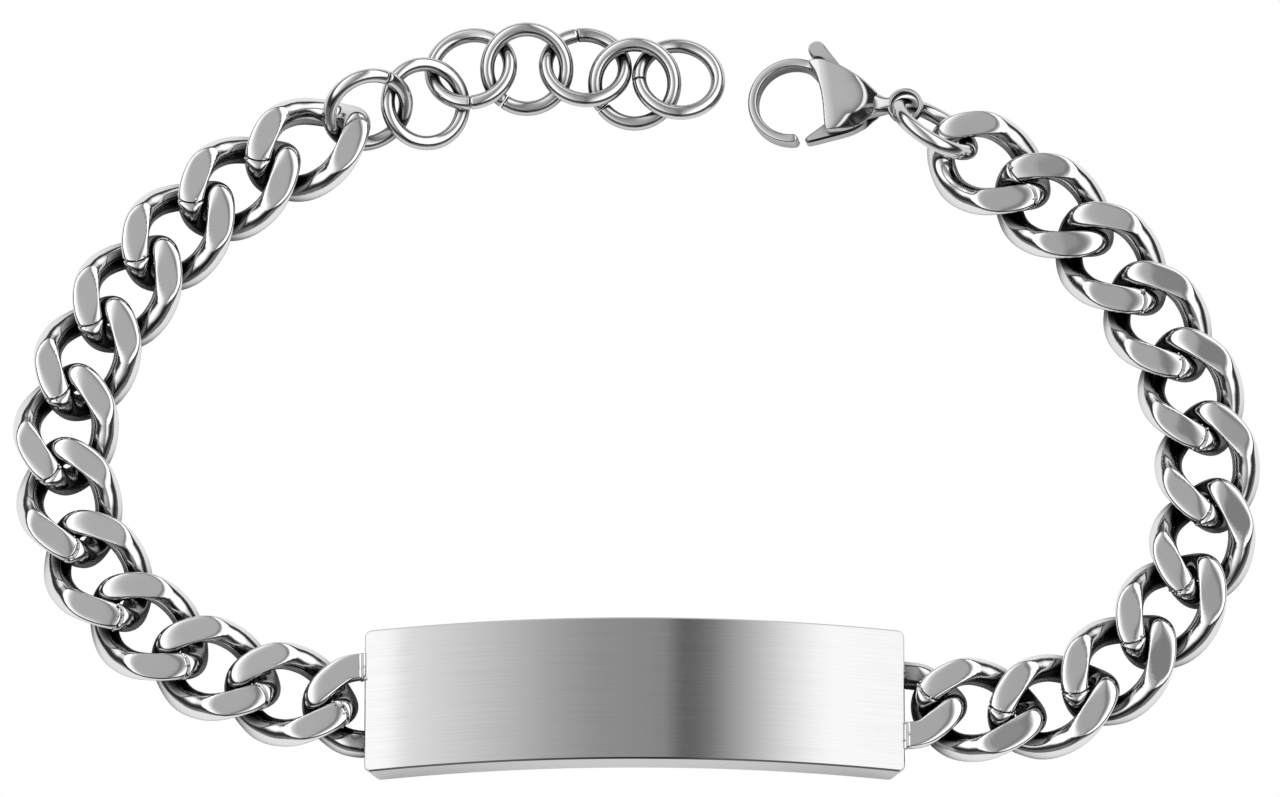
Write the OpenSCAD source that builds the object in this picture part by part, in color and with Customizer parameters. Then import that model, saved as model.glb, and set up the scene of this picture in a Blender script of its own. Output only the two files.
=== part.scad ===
// Identity bracelet with a curb chain, a bare name plate, an extension chain and a lobster clasp.
// It lies open on a surface at z = 0, with the name plate in front and the clasp and rings behind.
// Millimetres. The origin is the middle of the outline at the height of the surface.

/* [Curb links] */
// Distance from one curb link's middle to the next, with the chain pulled out
pitch = 5.95; // [5.8:0.05:6]
// Half the length of a link's oval, along the middle of its wire
half_len = 4.05; // [4.02:0.01:4.1]
// Half the width of a link's oval, along the middle of its wire
half_wid = 2.9; // [2.8:0.05:3]
// Squareness of the oval, where 2 is a plain ellipse
oval_power = 2.2; // [2.1:0.1:2.4]
// Twist of the wire at a link's two tips
tip_twist = 55; // [50:1:58]
// Diameter of the wire
wire_d = 2; // [1.6:0.05:2]
// Thickness of the chain over its polished flats
flat_t = 3.1; // [3:0.05:3.4]

/* [Name plate] */
// Length of the plate, straight across its upper face
plate_len = 40; // [38:0.5:41]
// Width of the plate
plate_wid = 10.9; // [10:0.1:12]
// Thickness of the plate
plate_t = 2.5; // [2.3:0.1:2.8]
// Rise of the plate's arch
plate_rise = 3.5; // [3:0.1:4]
// Height of the plate's lower corners above the surface
plate_lift = 0.35; // [0.2:0.05:0.5]
// Radius of the plate's corners, seen from above
plate_corner = 0.5; // [0.3:0.1:1]

/* [Extension rings] */
// Diameter of an extension ring, along the middle of its wire
ring_mid_d = 5.95; // [5.9:0.01:6]
// Diameter of an extension ring's wire
ring_wire_d = 1.02; // [0.8:0.02:1.04]

/* [Clasp ring] */
// Diameter of the clasp's ring, along the middle of its wire
clasp_ring_mid_d = 6.1; // [6.05:0.01:6.15]
// Diameter of the clasp ring's wire
clasp_ring_wire_d = 1.2; // [1:0.02:1.24]
// Lean of the clasp's ring away from upright
clasp_ring_lean = 33.3; // [33:0.1:34]

/* [Clasp] */
// Slope of the clasp, whose eye is held up by its ring
clasp_slope = 9.5; // [9:0.5:10]
// Thickness of the clasp's shell over its two cheeks
shell_t = 2.9; // [2.6:0.1:3]
// Width of the slot between the cheeks
slot_t = 1.3; // [1.2:0.1:1.5]
// Outer radius of the hook
hook_r = 3.4; // [3.2:0.05:3.5]
// Width of the hook's band, seen from above
hook_band = 0.75; // [0.7:0.05:1]
// Height of the hook's band
hook_t = 1.5; // [1.4:0.1:1.7]
// Outer radius of the eye
eye_r = 1.35; // [1.3:0.01:1.4]
// Radius of the eye's hole
eye_hole_r = 1; // [0.98:0.01:1.05]
// Height of the eye
eye_t = 0.8; // [0.7:0.05:0.8]
// Radius of the lever's pin
pin_r = 0.4; // [0.3:0.05:0.5]
// Thickness of the lever
lever_t = 1.1; // [0.9:0.05:1.1]

/* [Hidden] */
$fn = 48;

// Facets along a link's oval and round its wire
wire_steps = 20;
wire_sides = 8;
flat_h = flat_t / 2;
chain_z = flat_h;

// The plate's middle on the surface, and the outline's middle, which becomes the origin
plate_x = -0.4;
plate_y = -24.4;
outline_x = -0.25;
outline_y = -0.39;

// How far a soldered half link's middle lies inside the plate's upper corners, and the
// half turn of wire that is left, a little more than half the oval to reach into the plate
half_link_inset = 0.45;
half_link_turn = 95;

// Rows are [heading in degrees, how far the link is pushed towards the one before], from the plate outwards
LEFT_LINKS = [
    [166, 0], [156, 0], [140, 0], [121, 0], [103, 0], [83, 0],
    [66, 0], [55, 0], [47, 0], [33, 0], [29, 0]
];
RIGHT_LINKS = [
    [-8, 0], [19, 0.25], [44, 0.15], [53, 0], [77, 0.15], [94, 0],
    [108, 0], [120, 0], [130, 0], [142, 0], [148, 0]
];

// Rows are [x, y, heading of the axis that the ring leans about, lean], with a positive lean lifting the back
RINGS = [
    [-20.4, 21.8, 21, 53],
    [-16.1, 22.7, 60, 23],
    [-12.7, 25.6, 33, -15],
    [-8.5, 25.5, 6, 20],
    [-4.1, 25.7, -15, -16],
    [-0.4, 24.4, -11, 15],
    [2.9, 24.8, -19, -14]
];
ring_clear = 0.02;

// The clasp's ring, and the middle of the clasp's eye, which is the clasp's own origin
clasp_ring_at = [22.07, 20.2, 3.16];
clasp_ring_heading = -36;
eye_at = [19.87, 22.09, 2.86];
clasp_heading = -6.4;

// The clasp's own frame has x along the clasp from the hook to the eye, and y towards the thumb tab
hook_mid = [-8.5, -0.2];
hook_from = 52;
hook_to = 283;
pin_at = [-4, 0.7];
pin_gap = 0.05;
pin_head = 0.2;
slot_from = -6.45;
slot_to = -2.6;
neck_t = 1.2;

// Corners of the clasp's two cheeks, round from the hook's root along the back to the eye and home
CHEEK = [
    [-7.5, 2.9], [-6.3, 2.95], [-5.2, 2.75], [-4.4, 2.3], [-3.6, 1.8], [-2.8, 1.25],
    [-2, 0.75], [-1.15, 0.5], [-1.15, -0.5], [-2.1, -0.55], [-2.9, -0.7], [-3.9, -1.2],
    [-4.75, -1.95], [-5.4, -2.6], [-5.75, -1.9], [-6.05, -0.5], [-6.55, 0.8], [-7.2, 1.9]
];

// Corners of the clasp from the side, where the cheeks slope down to the neck, as [x, height]
SIDE = [[-9, 1.45], [-3.4, 1.45], [-1.9, 0.75], [-1, 0.6]];

// Corners of the lever, from the thumb tab down its eye side to the gate's tip and back
LEVER = [
    [-7.3, 3.4], [-7.75, 3.85], [-7.75, 4.35], [-7.35, 4.7], [-6.85, 4.6], [-6.2, 3.95],
    [-5.3, 2.95], [-4.3, 1.9], [-3.2, 1.35], [-2.9, 0.5], [-2.95, -0.3], [-2.75, -1],
    [-2.95, -1.75], [-4.1, -2.45], [-5.6, -2.95], [-7.05, -3.4], [-7.3, -3.15], [-6.85, -2.7],
    [-6.25, -2.2], [-5.75, -1.5], [-5.6, 0.3], [-5.9, 1.6], [-6.25, 2.6], [-6.5, 3.2]
];

function unit(v) = v / norm(v);
function ahead(heading) = [cos(heading), sin(heading)];

// The middle of a link's wire at an angle round its oval, with x along the chain
function bow(v) = sign(v) * pow(abs(v), 2 / oval_power);
function wire_at(t) =
    let (turn = -tip_twist * cos(t), across = half_wid * bow(sin(t)))
    [half_len * bow(cos(t)), across * cos(turn), across * sin(turn)];

// The corners of the wire's section there, with the chain's flats cut level
function section(t) =
    let (
        along = unit(wire_at(t + 1) - wire_at(t - 1)),
        across = unit(cross([0, 0, 1], along)),
        up = cross(along, across)
    )
    [
        for (i = [0 : wire_sides - 1])
        let (
            a = (i + 0.5) * 360 / wire_sides,
            p = wire_at(t) + wire_d / 2 * (cos(a) * across + sin(a) * up)
        )
        [p[0], p[1], max(-flat_h, min(flat_h, p[2]))]
    ];

// Faces between neighbouring sections, which close round a whole link
function skin(count, closed) = [
    for (j = [0 : count - (closed ? 1 : 2)], i = [0 : wire_sides - 1])
    let (k = (i + 1) % wire_sides, n = (j + 1) % count)
    [j * wire_sides + i, n * wire_sides + i, n * wire_sides + k, j * wire_sides + k]
];
function cap(j, turned) = [
    for (i = [0 : wire_sides - 1])
    j * wire_sides + (turned ? wire_sides - 1 - i : i)
];

module curb_link() {
    points = [for (j = [0 : wire_steps - 1]) each section((j + 0.5) * 360 / wire_steps)];
    polyhedron(points, skin(wire_steps, true));
}

module half_link() {
    count = wire_steps / 2 + 1;
    points = [
        for (j = [0 : count - 1])
        each section(-half_link_turn + j * 2 * half_link_turn / (count - 1))
    ];
    polyhedron(points, concat(skin(count, false), [cap(0, false), cap(count - 1, true)]));
}

// The middle of link number n of a row that starts from the plate's half link
function link_mid(rows, n, start, start_heading) =
    n < 0 ? start :
    let (
        before = link_mid(rows, n - 1, start, start_heading),
        from = n == 0 ? start_heading : rows[n - 1][0],
        reach = (pitch - rows[n][1]) / 2
    )
    before + reach * (ahead(from) + ahead(rows[n][0]));

left_start = [plate_x - plate_len / 2 + half_link_inset, plate_y];
right_start = [plate_x + plate_len / 2 - half_link_inset, plate_y];

module placed() {
    translate([-outline_x, -outline_y, 0]) children();
}

module left_link(n) {
    mid = link_mid(LEFT_LINKS, n - 1, left_start, 180);
    color("silver") placed() translate([mid[0], mid[1], chain_z])
        rotate([0, 0, LEFT_LINKS[n - 1][0]]) curb_link();
}

module right_link(n) {
    mid = link_mid(RIGHT_LINKS, n - 1, right_start, 0);
    color("silver") placed() translate([mid[0], mid[1], chain_z])
        rotate([0, 0, RIGHT_LINKS[n - 1][0]]) curb_link();
}

// The arch is a band between two circles, cut by two radii
arch_r = (plate_len * plate_len / 4 + plate_rise * plate_rise) / (2 * plate_rise);
arch_angle = asin(plate_len / 2 / arch_r);
arch_mid_z = plate_lift - (arch_r - plate_t) * cos(arch_angle);

module arch_outline() {
    far = 2 * arch_r;
    intersection() {
        difference() {
            circle(r = arch_r);
            circle(r = arch_r - plate_t);
        }
        polygon([[0, 0], far * ahead(90 - arch_angle), [0, far], far * ahead(90 + arch_angle)]);
    }
}

module corner_outline() {
    dx = plate_len / 2 - plate_corner;
    dy = plate_wid / 2 - plate_corner;
    square([plate_len, 2 * dy], center = true);
    square([2 * dx, plate_wid], center = true);
    for (sx = [-1, 1], sy = [-1, 1]) translate([sx * dx, sy * dy]) circle(r = plate_corner);
}

module bare_plate() {
    intersection() {
        translate([0, 0, arch_mid_z]) rotate([90, 0, 0])
            linear_extrude(plate_wid, center = true) arch_outline();
        linear_extrude(4 * plate_t) corner_outline();
    }
}

module id_plate() {
    color("gainsboro") placed() {
        translate([plate_x, plate_y, 0]) bare_plate();
        translate([left_start[0], left_start[1], chain_z]) rotate([0, 0, 180]) half_link();
        translate([right_start[0], right_start[1], chain_z]) half_link();
    }
}

module round_ring(mid_d, thick) {
    rotate_extrude() translate([mid_d / 2, 0]) circle(d = thick);
}

module extension_ring(n) {
    row = RINGS[n - 1];
    height = ring_mid_d / 2 * sin(abs(row[3])) + ring_wire_d / 2 + ring_clear;
    color("lightgrey") placed() translate([row[0], row[1], height])
        rotate([row[3], 0, row[2]]) round_ring(ring_mid_d, ring_wire_d);
}

module clasp_ring() {
    color("lightgrey") placed() translate(clasp_ring_at)
        rotate([90 + clasp_ring_lean, 0, clasp_ring_heading])
        round_ring(clasp_ring_mid_d, clasp_ring_wire_d);
}

module clasp_placed() {
    placed() translate(eye_at) rotate([0, -clasp_slope, clasp_heading]) children();
}

module hook() {
    translate([hook_mid[0], hook_mid[1], 0]) rotate([0, 0, hook_from])
        rotate_extrude(angle = hook_to - hook_from)
        translate([hook_r - hook_band / 2, 0]) square([hook_band, hook_t], center = true);
}

module cheeks() {
    mirrored = [for (i = [len(SIDE) - 1 : -1 : 0]) [SIDE[i][0], -SIDE[i][1]]];
    difference() {
        intersection() {
            linear_extrude(shell_t, center = true) polygon(CHEEK);
            rotate([90, 0, 0]) linear_extrude(4 * hook_r, center = true)
                polygon(concat(SIDE, mirrored));
        }
        translate([slot_from, -2 * hook_r, -slot_t / 2])
            cube([slot_to - slot_from, 4 * hook_r, slot_t]);
    }
}

module eye() {
    difference() {
        cylinder(r = eye_r, h = eye_t, center = true);
        cylinder(r = eye_hole_r, h = 2 * eye_t, center = true);
    }
}

module clasp_body() {
    color("gainsboro") clasp_placed() {
        hook();
        cheeks();
        eye();
        translate([pin_at[0], pin_at[1], 0])
            cylinder(r = pin_r, h = shell_t - pin_head, center = true);
    }
}

module clasp_lever() {
    color("silver") clasp_placed() difference() {
        linear_extrude(lever_t, center = true) polygon(LEVER);
        translate([pin_at[0], pin_at[1], 0])
            cylinder(r = pin_r + pin_gap, h = 2 * lever_t, center = true);
    }
}

id_plate();
for (i = [1 : 11]) {
    left_link(i);
    right_link(i);
}
for (i = [1 : 7]) {
    extension_ring(i);
}
clasp_ring();
clasp_body();
clasp_lever();
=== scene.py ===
import math
import random

import bmesh
import bpy
from mathutils import Matrix, Vector


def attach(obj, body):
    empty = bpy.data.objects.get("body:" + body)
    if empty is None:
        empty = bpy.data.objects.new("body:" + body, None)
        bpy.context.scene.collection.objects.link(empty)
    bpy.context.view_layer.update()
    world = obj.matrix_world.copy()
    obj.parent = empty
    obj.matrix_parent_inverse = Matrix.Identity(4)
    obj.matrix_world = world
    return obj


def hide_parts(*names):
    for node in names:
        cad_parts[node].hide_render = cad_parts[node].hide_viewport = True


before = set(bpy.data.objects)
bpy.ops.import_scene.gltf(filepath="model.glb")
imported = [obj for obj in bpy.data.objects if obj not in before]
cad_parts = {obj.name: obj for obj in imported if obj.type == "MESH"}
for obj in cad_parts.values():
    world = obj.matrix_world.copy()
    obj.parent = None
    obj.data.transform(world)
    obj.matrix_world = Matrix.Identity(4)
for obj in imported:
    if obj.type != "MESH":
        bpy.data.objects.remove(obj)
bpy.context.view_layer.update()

MM = 0.001
BODY = "bracelet"
LEVER_BODY = "lever"
random.seed(7)

# The outline's middle, which is the frame's origin, in the layout's own millimetres
OUTLINE_MID = Vector((-0.25, -0.39, 0))
PLATE_MID = Vector((-0.4, -24.4, 0))

# Curb links, in millimetres and degrees, as the solids have them
PITCH = 5.95
HALF_LEN = 4.05
HALF_WID = 2.9
OVAL_POWER = 2.2
TIP_TWIST = 55
FLAT_H = 1.55
CHAIN_Z = 1.55
WIRE_R = 1.02

# Rows are [heading, push towards the link before, tilt of the flats about x, tilt about y]
LEFT_LINKS = [
    [166, 0, 0.4, -1.2], [156, 0, -0.5, -0.6], [140, 0, 0.6, 0.5], [121, 0, -0.7, -0.8],
    [103, 0, 0.5, 0.4], [83, 0, 0.3, -0.9], [66, 0, -0.6, 0.3], [55, 0, 0.5, -0.5],
    [47, 0, -0.3, 0.6], [33, 0, 0.7, -0.7], [29, 0, -0.4, -0.3],
]
RIGHT_LINKS = [
    [-8, 0, 0.5, 2.2], [19, 0.25, -0.4, 0.6], [44, 0.15, 0.5, 2.6], [53, 0, -0.6, 1.1],
    [77, 0.15, 0.4, 2.4], [94, 0, -0.5, 1.2], [108, 0, 0.6, 2.4], [120, 0, -0.3, 2.2],
    [130, 0, 0.5, 0.9], [142, 0, -0.6, 1.9], [148, 0, 0.4, 0.5],
]

# How links are drawn. Their flats are softer towards the tips, from TIP_FROM over TIP_OVER
LINK_STEPS = 84
LINK_SIDES = 32
DIRECTION_STEP = 0.5
FLAT_SINK = 0.02
FLAT_SOFT = 0.13
TIP_SOFT = 0.72
TIP_FROM = 1.4
TIP_OVER = 2.2

# Each link's seam is a narrow notch with beads of weld metal. One link's seam is at its far tip
SEAM_TURN = 158
TURNED_SEAMS = {"polished_right_link_10": 342}
SEAM_TURNS = [-2.8, -1.8, -1.1, 0.8, 1.6, 2.8]
SEAM_DEPTHS = [0, 0.04, 0.34, 0.34, 0.04, 0]
SEAM_CLEAR = 3.3
BEAD_COUNT = 9
BEAD_SPREAD = 0.22
BEAD_SINK = 0.03
BEAD_SMALL = 0.06
BEAD_LARGE = 0.13

# The half links keep some twist up to the plate, so that their flats reach it and sink in the solder
HALF_LINK_STEPS = 300
HALF_LINK_TURN = 94
HALF_LINK_WELD = 84
HALF_LINK_TWIST = 0.42
HOLD_OVER = 0.12
SOLDER_DROP = 0.32
SOLDER_FROM = 0.74
SOLDER_OVER = 0.3
# A full link's twist is nowhere under this share, so it isn't held
NOT_HELD = -2

# Rows are [x, y, heading of the axis that the ring leans about, lean, where round the ring its seam is]
RINGS = [
    [-20.4, 21.8, 21, 53, 46],
    [-16.1, 22.7, 60, 23, 300],
    [-12.7, 25.6, 33, -15, 238],
    [-8.5, 25.5, 6, 20, 229],
    [-4.1, 25.7, -15, -16, 117],
    [-0.4, 24.4, -11, 15, 228],
    [2.9, 24.8, -19, -14, 204],
]
RING_MID_R = 2.975
RING_WIRE_R = 0.54
RING_LIFT = 0.54
RING_STEPS = 96
RING_SIDES = 24
RING_GAP = 0.1
RING_LIP = 0.06
RING_LIP_DROP = 0.05
CLASP_RING_AT = (22.07, 20.2, 3.16)
CLASP_RING_MID_R = 3.05
CLASP_RING_WIRE_R = 0.6
CLASP_RING_LEAN = 33.3
CLASP_RING_HEADING = -36

# Name plate, in millimetres
PLATE_LEN = 40
PLATE_WID = 10.9
PLATE_T = 2.5
PLATE_RISE = 3.5
PLATE_LIFT = 0.35
PLATE_CORNER = 0.5
PLATE_EDGE = 0.12
PLATE_COLUMNS = 96
CORNER_STEPS = 6
HALF_LINK_INSET = 0.45

# The plate is chamfered where its faces turn by more than CORNER_CREASE degrees. Its shading and the
# lever's break where they turn by more than CHAMFER_CREASE
CORNER_CREASE = 50
CHAMFER_CREASE = 30


def at(x, y, z):
    """A point of the layout, in the frame's millimetres."""
    return Vector((x, y, z)) - OUTLINE_MID


def ahead(heading):
    return Vector((math.cos(math.radians(heading)), math.sin(math.radians(heading)), 0))


def placed(point, heading):
    return Matrix.Translation(point) @ Matrix.Rotation(math.radians(heading), 4, "Z")


def smoothstep(v):
    v = max(0, min(1, v))
    return v * v * (3 - 2 * v)


def rounded(v, power):
    """A cosine or sine whose circle is swollen towards a square when the power is under 1."""
    return math.copysign(abs(v) ** power, v)


# Materials

# Steel is a very little bluer than grey
STEEL_BLUE = 1.005
GRAIN_DETAIL = 2
STREAK_DETAIL = 1
STREAK_LOW = 0.3
STREAK_HIGH = 0.7
# Painted shade in recesses is fullest where the openness is RECESS_SHUT or less
RECESS_SHUT = 0.22
RECESS_SAMPLES = 6


def steel(name, roughness, tone):
    mat = bpy.data.materials.new(name)
    mat.use_nodes = True
    shader = mat.node_tree.nodes["Principled BSDF"]
    shader.inputs["Base Color"].default_value = (tone, tone, tone * STEEL_BLUE, 1)
    shader.inputs["Metallic"].default_value = 1
    shader.inputs["Roughness"].default_value = roughness
    return mat


def stretched_noise(tree, stretch, scale, detail):
    """Noise that is stretched over the object."""
    coords = tree.nodes.new("ShaderNodeTexCoord")
    mapping = tree.nodes.new("ShaderNodeMapping")
    mapping.inputs["Scale"].default_value = stretch
    noise = tree.nodes.new("ShaderNodeTexNoise")
    noise.inputs["Scale"].default_value = scale
    noise.inputs["Detail"].default_value = detail
    tree.links.new(coords.outputs["Object"], mapping.inputs["Vector"])
    tree.links.new(mapping.outputs["Vector"], noise.inputs["Vector"])
    return noise.outputs["Fac"]


def spread(tree, value, low, high, least, most=1):
    """Maps the range from low to high onto the one from least to most."""
    made = tree.nodes.new("ShaderNodeMapRange")
    made.inputs["From Min"].default_value = low
    made.inputs["From Max"].default_value = high
    made.inputs["To Min"].default_value = least
    made.inputs["To Max"].default_value = most
    tree.links.new(value, made.inputs["Value"])
    return made.outputs["Result"]


def shade_base(tree, share):
    """Lets the metal keep only a share of its base colour."""
    shader = tree.nodes["Principled BSDF"]
    tint = tree.nodes.new("ShaderNodeMix")
    tint.data_type = "RGBA"
    tint.inputs["A"].default_value = (0, 0, 0, 1)
    tint.inputs["B"].default_value = shader.inputs["Base Color"].default_value
    tree.links.new(share, tint.inputs["Factor"])
    tree.links.new(tint.outputs["Result"], shader.inputs["Base Color"])


def add_grain(mat, scale, strength, stretch=(1, 1, 1), distance=0.00002):
    """Fine relief in the surface, stretched along one direction for brushed metal."""
    tree = mat.node_tree
    bump = tree.nodes.new("ShaderNodeBump")
    bump.inputs["Strength"].default_value = strength
    bump.inputs["Distance"].default_value = distance
    tree.links.new(stretched_noise(tree, stretch, scale, GRAIN_DETAIL), bump.inputs["Height"])
    tree.links.new(bump.outputs["Normal"], tree.nodes["Principled BSDF"].inputs["Normal"])


def add_streaks(mat, frequency, dark, light):
    """Long scratches of darker and lighter metal."""
    tree = mat.node_tree
    noise = stretched_noise(tree, frequency, 1, STREAK_DETAIL)
    shade_base(tree, spread(tree, noise, STREAK_LOW, STREAK_HIGH, dark, light))


def openness(tree, reach, samples):
    """How much of what is above a point lies open, as far as reach in millimetres."""
    made = tree.nodes.new("ShaderNodeAmbientOcclusion")
    made.samples = samples
    made.inputs["Distance"].default_value = reach * MM
    return made.outputs["AO"]


def paint_recess_shade(mat, reach, least, open_from):
    """Paints shade into the metal's base colour where it lies deep between other metal, where little
    light would reach.
    """
    tree = mat.node_tree
    share = spread(tree, openness(tree, reach, RECESS_SAMPLES), RECESS_SHUT, open_from, least)
    shade_base(tree, share)


# The polished, ring and clasp steel have painted shade in their recesses
polished = steel("polished_steel", roughness=0.11, tone=0.76)
add_grain(polished, scale=400, strength=0.08)
paint_recess_shade(polished, reach=3.2, least=0.05, open_from=0.9)
ring_steel = steel("ring_steel", roughness=0.14, tone=0.6)
add_grain(ring_steel, scale=350, strength=0.25)
paint_recess_shade(ring_steel, reach=3, least=0.1, open_from=0.86)
cast_steel = steel("clasp_steel", roughness=0.13, tone=0.48)
add_grain(cast_steel, scale=500, strength=0.06)
paint_recess_shade(cast_steel, reach=7, least=0.1, open_from=0.85)
brushed = steel("brushed_steel", roughness=0.09, tone=0.54)
add_grain(brushed, scale=1000, strength=0.25, stretch=(0.02, 8, 0), distance=0.00003)
add_streaks(brushed, frequency=(130, 13000, 0), dark=0.89, light=0.95)


def turns_sharply(edge, crease):
    """Whether the two faces at an edge turn by more than the crease, in degrees."""
    return len(edge.link_faces) == 2 and edge.calc_face_angle() > math.radians(crease)


def add_piece(name, bm, mat, body, nodes, crease=180):
    """Makes a piece, whose shading breaks at the edges that turn by more than the crease."""
    mesh = bpy.data.meshes.new(name)
    bmesh.ops.recalc_face_normals(bm, faces=bm.faces[:])
    for face in bm.faces:
        face.smooth = True
    for edge in bm.edges:
        if turns_sharply(edge, crease):
            edge.smooth = False
    bm.transform(Matrix.Scale(MM, 4))
    bm.to_mesh(mesh)
    bm.free()
    mesh.materials.append(mat)
    obj = bpy.data.objects.new(name, mesh)
    bpy.context.collection.objects.link(obj)
    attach(obj, body)
    if nodes:
        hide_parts(*nodes)
    return obj


# Tubes

def join_sections(bm, sections, closed):
    """Joins loops of corners into a tube, which is capped unless it closes on itself."""
    count = len(sections)
    sides = len(sections[0])
    for j in range(count if closed else count - 1):
        a, b = sections[j], sections[(j + 1) % count]
        for i in range(sides):
            k = (i + 1) % sides
            bm.faces.new((a[i], b[i], b[k], a[k]))
    if not closed:
        bm.faces.new(sections[0][::-1])
        bm.faces.new(sections[-1])


def tube(bm, centres, frames, radii, sides, closed, shape=None):
    """A tube of round sections. Each frame is the two directions that span its section."""
    sections = []
    for centre, (across, up), radius in zip(centres, frames, radii):
        section = []
        for i in range(sides):
            a = 2 * math.pi * i / sides
            p = centre + radius * (math.cos(a) * across + math.sin(a) * up)
            section.append(bm.verts.new(shape(p) if shape else p))
        sections.append(section)
    join_sections(bm, sections, closed)


# Curb links

def wire_at(t, held=NOT_HELD):
    """A point of the wire's middle, whose twist is held from falling under a share of the full one."""
    c, s = math.cos(math.radians(t)), math.sin(math.radians(t))
    twist = c
    if c < held - HOLD_OVER:
        twist = held
    elif c < held + HOLD_OVER:
        twist = held + (c - held + HOLD_OVER) ** 2 / (4 * HOLD_OVER)
    turn = math.radians(-TIP_TWIST * twist)
    ahead_of_mid = HALF_LEN * rounded(c, 2 / OVAL_POWER)
    across = HALF_WID * rounded(s, 2 / OVAL_POWER)
    return Vector((ahead_of_mid, across * math.cos(turn), across * math.sin(turn)))


def wire_frame(t, held=NOT_HELD):
    """The two directions across the wire."""
    along = (wire_at(t + DIRECTION_STEP, held) - wire_at(t - DIRECTION_STEP, held)).normalized()
    across = Vector((0, 0, 1)).cross(along).normalized()
    return across, along.cross(across)


def flattened(tilt_x, tilt_y, solder_drop=0):
    """Presses a point between the chain's two polished flats. They are rounder towards the tips."""
    sx, sy = math.tan(math.radians(tilt_x)), math.tan(math.radians(tilt_y))

    def press(p):
        top = min(FLAT_H, FLAT_H - FLAT_SINK - sy * p.x + sx * p.y)
        top -= solder_drop * smoothstep((SOLDER_FROM - p.x) / SOLDER_OVER)
        z = abs(p.z)
        soft = FLAT_SOFT + TIP_SOFT * smoothstep((abs(p.x) - TIP_FROM) / TIP_OVER)
        if z > top + soft:
            z = top
        elif z > top - soft:
            z = top - (top + soft - z) ** 2 / (4 * soft)
        return Vector((p.x, p.y, math.copysign(z, p.z)))
    return press


def link_tube(bm, first, last, seam, press, held=NOT_HELD, steps=LINK_STEPS):
    """A link's wire from its first turn to its last, which closes after a whole round."""
    closed = last - first >= 360
    count = round(steps * (last - first) / 360)
    turns = [first + (last - first) * i / count for i in range(count + (0 if closed else 1))]
    depths = {}
    if seam is not None:
        turns = [t for t in turns if abs((t - seam + 180) % 360 - 180) > SEAM_CLEAR]
        for t, depth in zip(SEAM_TURNS, SEAM_DEPTHS):
            turns.append((seam + t) % 360)
            depths[(seam + t) % 360] = depth
        turns.sort()
    radii = [WIRE_R - depths.get(t, 0) for t in turns]
    centres = [wire_at(t, held) for t in turns]
    frames = [wire_frame(t, held) for t in turns]
    tube(bm, centres, frames, radii, LINK_SIDES, closed, press)


def weld_beads(bm, turn, press=None, held=NOT_HELD):
    """Small beads of weld metal round the wire, in the pressed surface where one is given."""
    across, up = wire_frame(turn, held)
    along = across.cross(up)
    for _ in range(BEAD_COUNT):
        a = random.uniform(0, 2 * math.pi)
        centre = wire_at(turn, held) + along * random.uniform(-BEAD_SPREAD, BEAD_SPREAD)
        centre += (WIRE_R - BEAD_SINK) * (math.cos(a) * across + math.sin(a) * up)
        if press:
            centre = press(centre)
        size = random.uniform(BEAD_SMALL, BEAD_LARGE)
        spot = Matrix.Translation(centre)
        bmesh.ops.create_icosphere(bm, subdivisions=2, radius=size, matrix=spot)


def curb_link(name, point, heading, tilt):
    bm = bmesh.new()
    # The tilt is given in the frame's own directions, so it is turned into the link's
    turn = Matrix.Rotation(math.radians(-heading), 2)
    seam = TURNED_SEAMS.get(name, SEAM_TURN)
    link_tube(bm, 0, 360, seam, flattened(*(turn @ Vector(tilt))))
    weld_beads(bm, seam)
    bm.transform(placed(point, heading))
    return add_piece(name, bm, polished, BODY, [name.replace("polished_", "")])


def chain(prefix, rows, start, heading):
    mid = start
    for number, (next_heading, push, tilt_x, tilt_y) in enumerate(rows, 1):
        mid = mid + (PITCH - push) / 2 * (ahead(heading) + ahead(next_heading))
        heading = next_heading
        curb_link("polished_%s_link_%02d" % (prefix, number), mid, heading, (tilt_x, tilt_y))


link_start = PLATE_LEN / 2 - HALF_LINK_INSET
left_start = PLATE_MID - OUTLINE_MID + Vector((-link_start, 0, CHAIN_Z))
right_start = PLATE_MID - OUTLINE_MID + Vector((link_start, 0, CHAIN_Z))
chain("left", LEFT_LINKS, left_start, 180)
chain("right", RIGHT_LINKS, right_start, 0)


# Round rings

def ring_tube(bm, mid_r, wire_r, seam, matrix):
    """A ring of wire whose two ends nearly meet, with slightly rounded lips."""
    half_gap = math.degrees(RING_GAP / 2 / mid_r)
    turns = [seam + half_gap + (360 - 2 * half_gap) * i / RING_STEPS for i in range(RING_STEPS + 1)]
    lip = math.degrees(RING_LIP / mid_r)
    turns[1:1] = [turns[0] + lip]
    turns[-1:-1] = [turns[-1] - lip]
    radii = [wire_r] * len(turns)
    radii[0] = radii[-1] = wire_r - RING_LIP_DROP
    centres = [mid_r * ahead(t) for t in turns]
    frames = [(ahead(t), Vector((0, 0, 1))) for t in turns]
    tube(bm, centres, frames, radii, RING_SIDES, False)
    bm.transform(matrix)


for number, (x, y, heading, lean, seam) in enumerate(RINGS, 1):
    bm = bmesh.new()
    height = RING_MID_R * math.sin(math.radians(abs(lean))) + RING_LIFT
    matrix = placed(at(x, y, height), heading) @ Matrix.Rotation(math.radians(lean), 4, "X")
    ring_tube(bm, RING_MID_R, RING_WIRE_R, seam, matrix)
    name = "extension_ring_%d" % number
    add_piece("jump_ring_%d" % number, bm, ring_steel, BODY, [name])

bm = bmesh.new()
matrix = placed(at(*CLASP_RING_AT), CLASP_RING_HEADING)
matrix = matrix @ Matrix.Rotation(math.radians(90 + CLASP_RING_LEAN), 4, "X")
ring_tube(bm, CLASP_RING_MID_R, CLASP_RING_WIRE_R, 0, matrix)
add_piece("clasp_jump_ring", bm, ring_steel, BODY, ["clasp_ring"])


# Name plate

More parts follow.
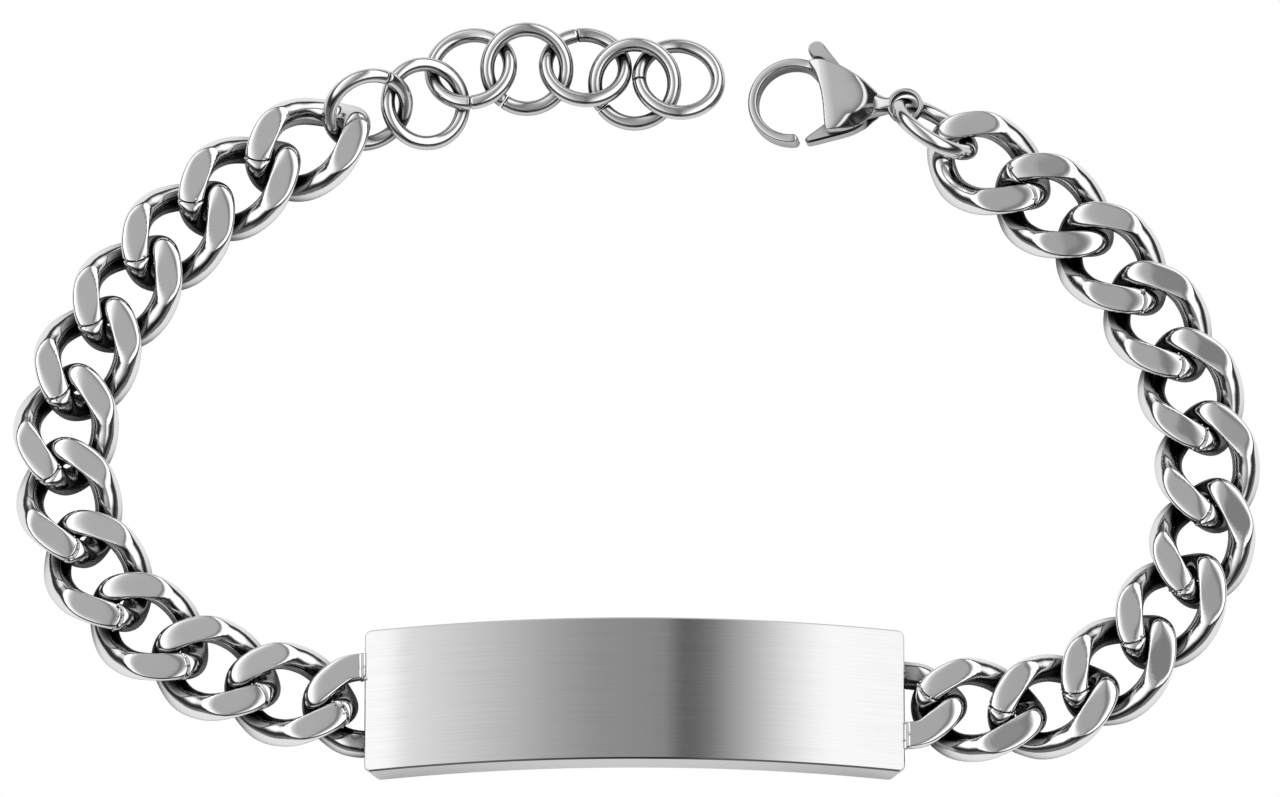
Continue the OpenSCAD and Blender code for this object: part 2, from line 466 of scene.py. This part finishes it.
arch_r = (PLATE_LEN ** 2 / 4 + PLATE_RISE ** 2) / (2 * PLATE_RISE)
arch_angle = math.asin(PLATE_LEN / 2 / arch_r)
arch_mid_z = PLATE_LIFT - (arch_r - PLATE_T) * math.cos(arch_angle)


def plate_outline():
    """The plate's outline seen from above, with rounded corners."""
    points = []
    mid_x = PLATE_LEN / 2 - PLATE_CORNER
    mid_y = PLATE_WID / 2 - PLATE_CORNER
    for cx, cy, start in ((1, 1, 0), (-1, 1, 90), (-1, -1, 180), (1, -1, 270)):
        for i in range(CORNER_STEPS + 1):
            out = PLATE_CORNER * ahead(start + 90 * i / CORNER_STEPS)
            points.append(Vector((cx * mid_x, cy * mid_y, 0)) + out)
    return points


def arch_point(x, y, depth):
    """A point depth under the plate's upper face, where x is measured along the upper chord."""
    angle = math.asin(max(-1, min(1, x / arch_r)))
    r = arch_r - depth
    return Vector((r * math.sin(angle), y, arch_mid_z + r * math.cos(angle)))


def name_plate():
    """A flat outline cut into columns, given its thickness and bent to the arch."""
    bm = bmesh.new()
    bm.faces.new([bm.verts.new(p) for p in plate_outline()])
    for i in range(1, PLATE_COLUMNS):
        x = -PLATE_LEN / 2 + PLATE_LEN * i / PLATE_COLUMNS
        geom = bm.verts[:] + bm.edges[:] + bm.faces[:]
        bmesh.ops.bisect_plane(bm, geom=geom, plane_co=(x, 0, 0), plane_no=(1, 0, 0))
    extruded = bmesh.ops.extrude_face_region(bm, geom=bm.faces[:])
    lower = {v for v in extruded["geom"] if isinstance(v, bmesh.types.BMVert)}
    for v in bm.verts:
        v.co = arch_point(v.co.x, v.co.y, PLATE_T if v in lower else 0)
    bmesh.ops.recalc_face_normals(bm, faces=bm.faces[:])
    sharp = [edge for edge in bm.edges if turns_sharply(edge, CORNER_CREASE)]
    bmesh.ops.bevel(bm, geom=sharp, offset=PLATE_EDGE, segments=1, affect="EDGES")
    bm.transform(Matrix.Translation(PLATE_MID - OUTLINE_MID))
    return bm


add_piece("name_plate", name_plate(), brushed, BODY, ["id_plate"], CHAMFER_CREASE)


def half_link(side, start, heading):
    """Half a link, soldered to the plate's end."""
    bm = bmesh.new()
    press = flattened(0, 0, SOLDER_DROP)
    link_tube(bm, -HALF_LINK_TURN, HALF_LINK_TURN, None, press, HALF_LINK_TWIST, HALF_LINK_STEPS)
    weld_beads(bm, HALF_LINK_WELD, press, HALF_LINK_TWIST)
    weld_beads(bm, -HALF_LINK_WELD, press, HALF_LINK_TWIST)
    bm.transform(placed(start, heading))
    add_piece("%s_half_link" % side, bm, polished, BODY, [])


half_link("left", left_start, 180)
half_link("right", right_start, 0)


# Clasp, in its own directions: x from hook to eye, y to its back, z up, and 0 at the eye's middle

EYE_AT = (19.87, 22.09, 2.86)
CLASP_SLOPE = 9.5
CLASP_HEADING = -6.4
CLASP = placed(at(*EYE_AT), CLASP_HEADING) @ Matrix.Rotation(math.radians(-CLASP_SLOPE), 4, "Y")
HOOK_MID = Vector((-8.5, -0.2, 0))
HOOK_R = 3.4
HOOK_BAND = 0.75
HOOK_HALF_H = 0.75
HOOK_SIDES = 20
HOOK_FROM = 46
HOOK_TO = 284
HOOK_STEPS = 90
EYE_R = 1.35
EYE_HOLE_R = 1.0
EYE_HALF_H = 0.42
EYE_EDGE = 0.16
EYE_STEPS = 64
EYE_CORNER_STEPS = 3
PIN_AT = Vector((-4, 0.7, 0))
PIN_R = 0.4
PIN_HALF_H = 1.3
PIN_SIDES = 32
LEVER_HALF_H = 0.55
LEVER_EDGE = 0.14
LEVER_CELL = 0.4

# Two cheeks leave a slot for the lever. The shell's top is domed, and falls beyond its crest to a rim
SLOT_HALF_H = 0.6
SHELL_TOP = 1.62
SHELL_RIM = 0.67
SHELL_EDGE = 0.12
SHELL_CELL = 0.11
DOME_FROM = -5.2
DOME_TURN = 0.25
DOME_MID_Y = -0.5
DOME_FALL = 0.11
CREST_FALL = 1.15
CREST_SOFT = 0.2
LOWER_RIM = 0.7
LOWER_FALL = 0.8
LOWER_DEPTH = 1.45
LOWER_EDGE = 0.08
LOWER_CELL = 0.25
ROOT_GRIP = 0.1
ROOT_EDGE = 0.05
ROOT_CELL = 0.3

# Corners of the clasp's cheeks, from the hook's root along the back to the neck and home by the rim
SHELL = [
    (-7.5, 2.75), (-6.7, 2.9), (-5.7, 2.75), (-4.8, 2.4), (-4, 2), (-3.3, 1.65), (-2.6, 1.15),
    (-2.15, 0.78), (-1.95, 0.4), (-1.95, -0.5), (-2.1, -0.88), (-2.4, -1.15), (-2.85, -1.65),
    (-3.45, -2.05), (-4.15, -2.4), (-4.9, -2.6), (-5.4, -2.68), (-5.62, -2.5), (-5.8, -1.8),
    (-5.95, -0.9), (-6.2, 0.15), (-6.5, 1), (-6.9, 1.9),
]
# The crest where the shell's smooth top breaks down to the neck and the rim
CREST = [
    (-3.9, 2.2), (-3.6, 1.6), (-3.17, 1.03), (-2.88, 0.31), (-2.95, -0.44), (-3.41, -0.98),
    (-3.99, -1.33), (-4.32, -1.85), (-4.68, -2.3), (-5.3, -2.8),
]
# The lever, from the thumb tab down its eye side to the gate's tip and back
LEVER = [
    (-7.24, 3.33), (-7.6, 3.6), (-7.78, 4.05), (-7.62, 4.47), (-7.2, 4.68), (-6.75, 4.55),
    (-6.25, 4), (-5.7, 3.4), (-5.1, 2.75), (-4.3, 1.95), (-3.4, 1.45), (-2.95, 0.8),
    (-2.85, 0), (-2.75, -0.8), (-2.85, -1.6), (-3.4, -2.15), (-4.2, -2.55), (-5.6, -3.02),
    (-6.7, -3.38), (-7.05, -3.42), (-7.22, -3.2), (-7.05, -2.9), (-6.6, -2.5), (-6.2, -2.15),
    (-5.8, -1.6), (-5.6, 0.2), (-5.85, 1.5), (-6.2, 2.5), (-6.45, 3.1), (-6.8, 3.3),
]
# The block that joins the hook to the two cheeks
ROOT = [
    (-7.55, 2.65), (-7.1, 2.85), (-6.62, 2.8), (-6.6, 2), (-6.75, 1.75), (-6.95, 1.8), (-7.3, 2.2),
]
# Rows are [x, y of the back edge, y of the front edge, half height] along the neck from shell to eye
NECK = [
    [-3.6, 1.75, -1.6, 0.5], [-3.1, 1.5, -1.35, 0.86], [-2.6, 1.15, -1.12, 0.96],
    [-2.1, 0.8, -0.92, 0.88], [-1.6, 0.62, -0.78, 0.66], [-1.3, 0.6, -0.7, 0.5],
    [-1.0, 0.6, -0.66, 0.34],
]
NECK_STEPS = 6
NECK_SIDES = 40
NECK_POWER = 0.9

# How the cheeks, the root and the lever are drawn
SHELL_LINE_STEPS = 4
SMALL_LINE_STEPS = 3
EDGE_SHARES = (0, 0.12, 0.4, 1)
EDGE_MOST = 0.45
LEAST_SIDE = 0.002


def curve_point(p0, p1, p2, p3, t):
    """A point t of the way from p1 to p2 on a smooth curve through the four points."""
    return 0.5 * (2 * p1 + (p2 - p0) * t + (2 * p0 - 5 * p1 + 4 * p2 - p3) * t * t
                  + (3 * p1 - p0 - 3 * p2 + p3) * t ** 3)


def smooth_loop(points, per_side):
    """A closed curve through the corners."""
    count = len(points)
    out = []
    for i in range(count):
        corners = [Vector(points[(i + k - 1) % count]) for k in range(4)]
        for j in range(per_side):
            out.append(curve_point(*corners, j / per_side))
    return out


def side_distance(p, a, b):
    """How far a point is from a straight side, and on which hand of it."""
    ab = b - a
    t = max(0, min(1, (p - a).dot(ab) / ab.length_squared))
    return (p - a - t * ab).length, 1 if ab.cross(p - a) < 0 else -1


def edge_distance(x, y, loop):
    """How far a point is from a closed line."""
    p = Vector((x, y))
    return min(side_distance(p, a, b)[0] for a, b in zip(loop, loop[1:] + loop[:1]))


def cut_into_cells(bm, outline, cell):
    """Cuts a flat mesh along a square grid."""
    for axis in (0, 1):
        low = min(p[axis] for p in outline)
        high = max(p[axis] for p in outline)
        for i in range(1, math.ceil((high - low) / cell)):
            co, no = Vector(), Vector()
            co[axis], no[axis] = low + i * cell, 1
            geom = bm.verts[:] + bm.edges[:] + bm.faces[:]
            bmesh.ops.bisect_plane(bm, geom=geom, plane_co=co, plane_no=no)


def slab(outline, lower, upper, cell, edge, round_edge=True):
    """A solid between two height functions over a closed outline, with rounded or chamfered edges."""
    bm = bmesh.new()
    count = len(outline)
    area = sum(outline[i - 1].cross(outline[i]) for i in range(count))
    rings = []
    for share in (EDGE_SHARES if round_edge else (0, 1)):
        ring = []
        for i, p in enumerate(outline):
            along = (outline[(i + 1) % count] - outline[i - 1]).normalized()
            inward = Vector((-along.y, along.x)) * (1 if area > 0 else -1)
            q = p + inward * edge * share
            ring.append(bm.verts.new((q.x, q.y, 0)))
        rings.append(ring)
    for a, b in zip(rings, rings[1:]):
        for i in range(count):
            k = (i + 1) % count
            bm.faces.new((a[i], a[k], b[k], b[i]))
    bm.faces.new(rings[-1])
    cut_into_cells(bm, outline, cell)
    extruded = bmesh.ops.extrude_face_region(bm, geom=bm.faces[:])
    below = {v for v in extruded["geom"] if isinstance(v, bmesh.types.BMVert)}
    for v in bm.verts:
        x, y = v.co.x, v.co.y
        top, bottom = upper(x, y), lower(x, y)
        out = max(0, 1 - edge_distance(x, y, outline) / edge)
        drop = edge * (1 - math.sqrt(1 - out * out)) if round_edge else edge * out
        drop = min(drop, EDGE_MOST * (top - bottom))
        v.co.z = bottom + drop if v in below else top - drop
    bmesh.ops.dissolve_degenerate(bm, dist=LEAST_SIDE, edges=bm.edges[:])
    return bm


shell_line = smooth_loop(SHELL, SHELL_LINE_STEPS)
# The crest's first and last sides stay straight, and the curve between them is smooth
crest_last = SHELL_LINE_STEPS * (len(CREST) - 2)
crest_line = [Vector(CREST[0])]
crest_line += smooth_loop(CREST, SHELL_LINE_STEPS)[SHELL_LINE_STEPS:crest_last + 1]
crest_line.append(Vector(CREST[-1]))


def crest_distance(x, y):
    """Distance inside the crest, which is negative on the slope beyond it."""
    p = Vector((x, y))
    sides = [side_distance(p, a, b) for a, b in zip(crest_line, crest_line[1:])]
    distance, hand = min(sides, key=lambda found: found[0])
    return distance * hand


def shell_height(x, y):
    """The shell's top falls away to its left, and steeply beyond the crest."""
    d = crest_distance(x, y)
    left = max(0, DOME_FROM - x - DOME_TURN * (y - DOME_MID_Y))
    dome = SHELL_TOP - DOME_FALL * left ** 2
    beyond = (math.hypot(d, CREST_SOFT) - d) / 2
    return max(SHELL_RIM, dome - CREST_FALL * beyond)


def lower_height(x, y):
    """The lower cheek is flatter, and falls away to its rim."""
    inside = edge_distance(x, y, shell_line)
    return -min(shell_height(x, y), LOWER_RIM + LOWER_FALL * inside, LOWER_DEPTH)


def clasp_part(name, bm, body, nodes, crease=180):
    bm.transform(CLASP)
    return add_piece(name, bm, cast_steel, body, nodes, crease)


def neck():
    """A solid round neck that narrows from the shell to the eye."""
    rows = [NECK[0]] + NECK + [NECK[-1]]
    last = len(NECK) - 2
    bm = bmesh.new()
    sections = []
    for i in range(last + 1):
        for j in range(NECK_STEPS + (1 if i == last else 0)):
            columns = zip(*rows[i:i + 4])
            x, back, front, half = (curve_point(*column, j / NECK_STEPS) for column in columns)
            mid, wide = (back + front) / 2, (back - front) / 2
            section = []
            for k in range(NECK_SIDES):
                a = 2 * math.pi * k / NECK_SIDES
                y = mid + wide * rounded(math.cos(a), NECK_POWER)
                z = half * rounded(math.sin(a), NECK_POWER)
                section.append(bm.verts.new((x, y, z)))
            sections.append(section)
    join_sections(bm, sections, False)
    return bm


# The hook's band is a square with round corners, which is stouter at its root and tapers to its tip
HOOK_ROOT_END = 75
HOOK_ROOT_OVER = 30
HOOK_ROOT_GROWTH = 0.5
HOOK_TIP_OVER = 7
HOOK_TIP_LEAST = 0.02
HOOK_TIP_KEPT_H = 0.86
HOOK_POWER = 0.45


def hook_band():
    """The hook, from its root round to its open tip."""
    bm = bmesh.new()
    sections = []
    for i in range(HOOK_STEPS + 1):
        t = HOOK_FROM + (HOOK_TO - HOOK_FROM) * i / HOOK_STEPS
        left = (HOOK_TO - t) / HOOK_TIP_OVER
        end = math.sqrt(max(HOOK_TIP_LEAST, 1 - (1 - left) ** 2)) if left < 1 else 1
        stout = 1 + HOOK_ROOT_GROWTH * smoothstep((HOOK_ROOT_END - t) / HOOK_ROOT_OVER)
        half_w = HOOK_BAND / 2 * end * stout
        half_h = HOOK_HALF_H * (HOOK_TIP_KEPT_H + (1 - HOOK_TIP_KEPT_H) * end) * stout
        section = []
        for k in range(HOOK_SIDES):
            a = 2 * math.pi * (k + 0.5) / HOOK_SIDES
            across = HOOK_R - HOOK_BAND / 2 + half_w * rounded(math.cos(a), HOOK_POWER)
            up = Vector((0, 0, half_h * rounded(math.sin(a), HOOK_POWER)))
            section.append(bm.verts.new(HOOK_MID + ahead(t) * across + up))
        sections.append(section)
    join_sections(bm, sections, False)
    return bm


def eye_ring():
    """A flat ring with rounded edges."""
    profile = []
    outer, inner, top = EYE_R - EYE_EDGE, EYE_HOLE_R + EYE_EDGE, EYE_HALF_H - EYE_EDGE
    for x, z, start in ((outer, top, 0), (inner, top, 90), (inner, -top, 180), (outer, -top, 270)):
        for i in range(EYE_CORNER_STEPS + 1):
            a = math.radians(start + 90 / EYE_CORNER_STEPS * i)
            profile.append((x + EYE_EDGE * math.cos(a), z + EYE_EDGE * math.sin(a)))
    bm = bmesh.new()
    sections = []
    for i in range(EYE_STEPS):
        out = ahead(i * 360 / EYE_STEPS)
        sections.append([bm.verts.new(out * x + Vector((0, 0, z))) for x, z in profile])
    join_sections(bm, sections, True)
    return bm


def pin():
    """The pin that the lever turns on."""
    bm = bmesh.new()
    bmesh.ops.create_cone(bm, cap_ends=True, segments=PIN_SIDES, radius1=PIN_R, radius2=PIN_R,
                          depth=2 * PIN_HALF_H, matrix=Matrix.Translation(PIN_AT))
    return bm


def level(height):
    """A height function that is the same everywhere."""
    return lambda x, y: height


upper_cheek = slab(shell_line, level(SLOT_HALF_H), shell_height, SHELL_CELL, SHELL_EDGE)
lower_cheek = slab(shell_line, lower_height, level(-SLOT_HALF_H), LOWER_CELL, LOWER_EDGE)
root_line = smooth_loop(ROOT, SMALL_LINE_STEPS)
root_h = SLOT_HALF_H + ROOT_GRIP
root = slab(root_line, level(-root_h), level(root_h), ROOT_CELL, ROOT_EDGE)
lever_line = smooth_loop(LEVER, SMALL_LINE_STEPS)
lever_low, lever_high = level(-LEVER_HALF_H), level(LEVER_HALF_H)
lever = slab(lever_line, lever_low, lever_high, LEVER_CELL, LEVER_EDGE, False)
clasp_part("clasp_shell", upper_cheek, BODY, ["clasp_body"])
clasp_part("clasp_lower_cheek", lower_cheek, BODY, [])
clasp_part("clasp_neck", neck(), BODY, [])
clasp_part("clasp_root", root, BODY, [])
clasp_part("clasp_hook", hook_band(), BODY, [])
clasp_part("clasp_eye", eye_ring(), BODY, [])
clasp_part("clasp_pin", pin(), BODY, [])
clasp_part("sprung_lever", lever, LEVER_BODY, ["clasp_lever"], CHAMFER_CREASE)


# Floor. Seen directly it is evenly white. In the metal it shows painted shade, paler in the open and
# dark inside the links

FLOOR_HALF = 2.5
FLOOR_REACH = 5
FLOOR_SHUT = 0.36
FLOOR_OPEN = 0.76
FLOOR_DARK = 0.02
FLOOR_SAMPLES = 4


def floor_material():
    mat = bpy.data.materials.new("floor")
    mat.use_nodes = True
    tree = mat.node_tree
    tree.nodes.clear()
    # Painted shade: the floor glows less where little is open above it, as inside and under the links
    open_share = openness(tree, FLOOR_REACH, FLOOR_SAMPLES)
    shade = spread(tree, open_share, FLOOR_SHUT, FLOOR_OPEN, FLOOR_DARK)
    path = tree.nodes.new("ShaderNodeLightPath")
    brighter = tree.nodes.new("ShaderNodeMath")
    brighter.operation = "MAXIMUM"
    tree.links.new(shade, brighter.inputs[0])
    tree.links.new(path.outputs["Is Camera Ray"], brighter.inputs[1])
    glow = tree.nodes.new("ShaderNodeEmission")
    tree.links.new(brighter.outputs[0], glow.inputs["Strength"])
    output = tree.nodes.new("ShaderNodeOutputMaterial")
    tree.links.new(glow.outputs[0], output.inputs["Surface"])
    return mat


floor_mesh = bpy.data.meshes.new("floor")
floor_hands = ((-1, -1), (1, -1), (1, 1), (-1, 1))
floor_corners = [(x * FLOOR_HALF, y * FLOOR_HALF, 0) for x, y in floor_hands]
floor_mesh.from_pydata(floor_corners, [], [(0, 1, 2, 3)])
floor_mesh.materials.append(floor_material())
floor = bpy.data.objects.new("floor", floor_mesh)
bpy.context.collection.objects.link(floor)


# Camera

PHOTO_WIDTH = 1280
PIXELS_PER_MM = 13.4
VIEW_ELEVATION = math.radians(72)
LENS = 400
SENSOR = 36
CLIP_START = 0.01
distance = PHOTO_WIDTH / PIXELS_PER_MM * MM * LENS / SENSOR
camera_data = bpy.data.cameras.new("camera")
camera_data.lens = LENS
camera_data.sensor_width = SENSOR
camera_data.clip_start = CLIP_START
camera = bpy.data.objects.new("camera", camera_data)
back = Vector((0, -math.cos(VIEW_ELEVATION), math.sin(VIEW_ELEVATION)))
camera.location = at(0, 0, 0) * MM + distance * back
camera.rotation_euler = (math.pi / 2 - VIEW_ELEVATION, 0, 0)
bpy.context.collection.objects.link(camera)
bpy.context.scene.camera = camera


# Light, a white tent with darker cards, seen only in reflections

TENT_GLOW = 2
# Stops of brightness across the tent's roof, from 0 at the far left to 1 at the far right
ROOF = [
    (0.0, 0.7), (0.2, 0.95), (0.294, 0.95), (0.308, 0.71), (0.348, 0.6), (0.388, 0.49),
    (0.427, 0.37), (0.466, 0.27), (0.529, 0.235), (0.534, 0.11), (0.545, 0.105), (0.5625, 0.17),
    (0.60, 0.47), (0.64, 0.82), (0.66, 0.95), (1.0, 0.8),
]
# Stops up from the horizon to the zenith. The walls' dark band is tall in front and low at the back
WALL = [
    (0.0, 0.12), (0.12, 0.12), (0.16, 0.02), (0.43, 0.02), (0.52, 0.75), (0.60, 1.0), (1.0, 1.0),
]
BACK_LIFT = 0.25

world = bpy.data.worlds.new("light_tent")
bpy.context.scene.world = world
world.use_nodes = True
tent = world.node_tree
tent.nodes.clear()


def ramp(stops, source):
    made = tent.nodes.new("ShaderNodeValToRGB")
    elements = made.color_ramp.elements
    while len(elements) > 1:
        elements.remove(elements[-1])
    elements[0].position = stops[0][0]
    elements[0].color = (stops[0][1],) * 3 + (1,)
    for position, value in stops[1:]:
        element = elements.new(position)
        element.color = (value,) * 3 + (1,)
    tent.links.new(source, made.inputs["Fac"])
    return made.outputs["Color"]


def calc(operation, *values):
    made = tent.nodes.new("ShaderNodeMath")
    made.operation = operation
    for number, value in enumerate(values):
        if isinstance(value, (int, float)):
            made.inputs[number].default_value = value
        else:
            tent.links.new(value, made.inputs[number])
    return made.outputs[0]


def blend(kind, factor, a, b):
    made = tent.nodes.new("ShaderNodeMix")
    made.data_type = "RGBA"
    made.blend_type = kind
    for socket, value in (("Factor", factor), ("A", a), ("B", b)):
        if isinstance(value, (int, float, tuple)):
            made.inputs[socket].default_value = value
        else:
            tent.links.new(value, made.inputs[socket])
    return made.outputs["Result"]


coords = tent.nodes.new("ShaderNodeTexCoord")
split = tent.nodes.new("ShaderNodeSeparateXYZ")
tent.links.new(coords.outputs["Generated"], split.inputs[0])
angle = calc("ARCTAN2", split.outputs["X"], split.outputs["Z"])
side = calc("MULTIPLY_ADD", angle, 1 / math.pi, 0.5)
rise = calc("MULTIPLY_ADD", split.outputs["Y"], BACK_LIFT, split.outputs["Z"])
mixed = blend("MULTIPLY", 1, ramp(ROOF, side), ramp(WALL, rise))
path = tent.nodes.new("ShaderNodeLightPath")
white = (1 / TENT_GLOW, 1 / TENT_GLOW, 1 / TENT_GLOW, 1)
shown = blend("MIX", path.outputs["Is Camera Ray"], mixed, white)
background = tent.nodes.new("ShaderNodeBackground")
background.inputs["Strength"].default_value = TENT_GLOW
output = tent.nodes.new("ShaderNodeOutputWorld")
tent.links.new(shown, background.inputs["Color"])
tent.links.new(background.outputs["Background"], output.inputs["Surface"])

bpy.context.scene.view_settings.view_transform = "Standard"
bpy.context.scene.view_settings.look = "None"
